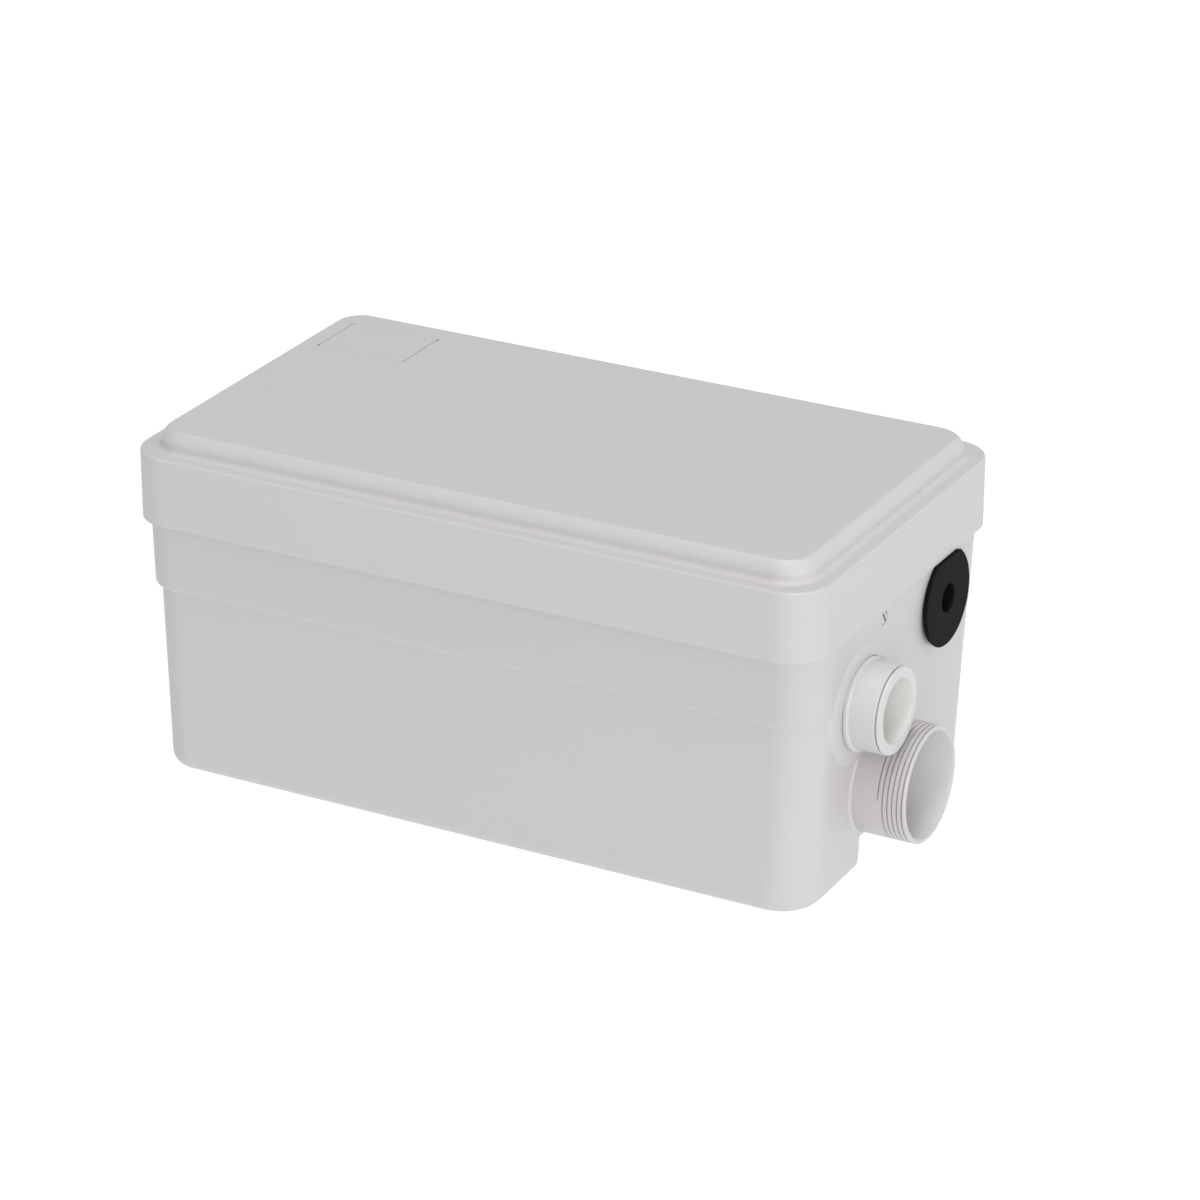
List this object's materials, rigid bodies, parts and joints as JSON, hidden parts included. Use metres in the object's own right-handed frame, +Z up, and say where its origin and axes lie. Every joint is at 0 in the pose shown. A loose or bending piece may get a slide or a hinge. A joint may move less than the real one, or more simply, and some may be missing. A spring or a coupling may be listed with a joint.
{
  "type": "sewage pump",
  "caption": "Boxed sewage lifting station: tank and lid, threaded inlet, stub outlet, cable grommet, and inside a motor pump with non-return flaps and a level switch.",
  "frame": {"origin": "centre of the tank's flat bottom, where it stands on the floor", "axes": "+X along the tank towards the end with the ports, +Y to the rear, +Z up"},
  "size_m": [0.319, 0.167, 0.148],
  "materials": {
    "shell_plastic": "satin",
    "spigot_plastic": "satin",
    "grey_plastic": "matte",
    "dark_plastic": "matte",
    "white_plastic": "gloss",
    "soft_rubber": "matte",
    "bright_steel": "satin",
    "bearing_steel": "polished",
    "core_steel": "matte",
    "winding_copper": "gloss",
    "plate_metal": "satin",
    "seal_ceramic": "polished",
    "carbon_felt": "matte"
  },
  "bodies": {
    "tank": {"tank": "shell_plastic", "discharge_spigot": "spigot_plastic", "spigot_nut": "grey_plastic", "check_valve_body": "grey_plastic", "inlet_flap_ring": "grey_plastic", "suction_cover": "grey_plastic", "volute_casing": "grey_plastic", "air_bell": "grey_plastic", "diaphragm_ring": "grey_plastic", "electrics_tray": "grey_plastic", "microswitch_body": "dark_plastic", "motor_cap": "dark_plastic", "terminal_block": "dark_plastic", "capacitor": "white_plastic", "lid_gasket": "soft_rubber", "cable_grommet": "soft_rubber", "spigot_seal": "soft_rubber", "rubber_feet": "soft_rubber", "motor_cap_seal": "soft_rubber", "discharge_hose": "soft_rubber", "switch_diaphragm": "soft_rubber", "lid_screws": "bright_steel", "lid_screw_nuts": "bright_steel", "check_valve_pin": "bright_steel", "inlet_flap_pin": "bright_steel", "casing_screws": "bright_steel", "motor_can": "bright_steel", "motor_cap_screws": "bright_steel", "hose_clamps": "bright_steel", "tray_screws": "bright_steel", "capacitor_clip": "bright_steel", "lower_bearing_outer": "bearing_steel", "upper_bearing_outer": "bearing_steel", "stator_core": "core_steel", "stator_windings": "winding_copper", "seal_plate": "plate_metal", "seal_seat": "seal_ceramic"},
    "rotor": {"shaft": "bright_steel", "rotor_core": "core_steel", "impeller": "grey_plastic", "impeller_nut": "bright_steel", "seal_ring": "seal_ceramic", "lower_bearing_inner": "bearing_steel", "lower_bearing_balls": "bearing_steel", "upper_bearing_inner": "bearing_steel", "upper_bearing_balls": "bearing_steel"},
    "inlet_flap": {"inlet_flap": "soft_rubber"},
    "check_flap": {"check_valve_flap": "soft_rubber"},
    "plunger": {"switch_plunger": "dark_plastic"},
    "button": {"microswitch_button": "dark_plastic"},
    "lid": {"lid": "shell_plastic", "carbon_filter": "carbon_felt"},
    "vent_cover": {"vent_cover": "shell_plastic"}
  },
  "joints": [
    {"name": "rotor_spin", "type": "hinge", "parent": "tank", "child": "rotor", "pos_m": [-0.06, 0, 0.06], "axis": [0, 0, 1], "continuous": true},
    {"name": "inlet_flap_hinge", "type": "hinge", "parent": "tank", "child": "inlet_flap", "pos_m": [0.1392, -0.0157, 0.0604], "axis": [0, 1, 0], "range_deg": [0, 60]},
    {"name": "check_flap_hinge", "type": "hinge", "parent": "tank", "child": "check_flap", "pos_m": [0.0913, -0.0362, 0.0915], "axis": [0, -1, 0], "range_deg": [0, 60]},
    {"name": "plunger_slide", "type": "slide", "parent": "tank", "child": "plunger", "axis": [0, 0, 1], "range_m": [0, 0.002], "stiffness_N_per_m": 100, "springref_m": -0.001},
    {"name": "button_slide", "type": "slide", "parent": "tank", "child": "button", "axis": [0, 0, 1], "range_m": [0, 0.002]},
    {"name": "lid_lift", "type": "slide", "parent": "tank", "child": "lid", "axis": [0, 0, 1], "range_m": [0, 0.16]},
    {"name": "vent_cover_lift", "type": "slide", "parent": "lid", "child": "vent_cover", "axis": [0, 0, 1], "range_m": [0, 0.03]}
  ],
  "couplings": [
    {"joint": "button_slide", "follows": "plunger_slide", "ratio": 1}
  ]
}
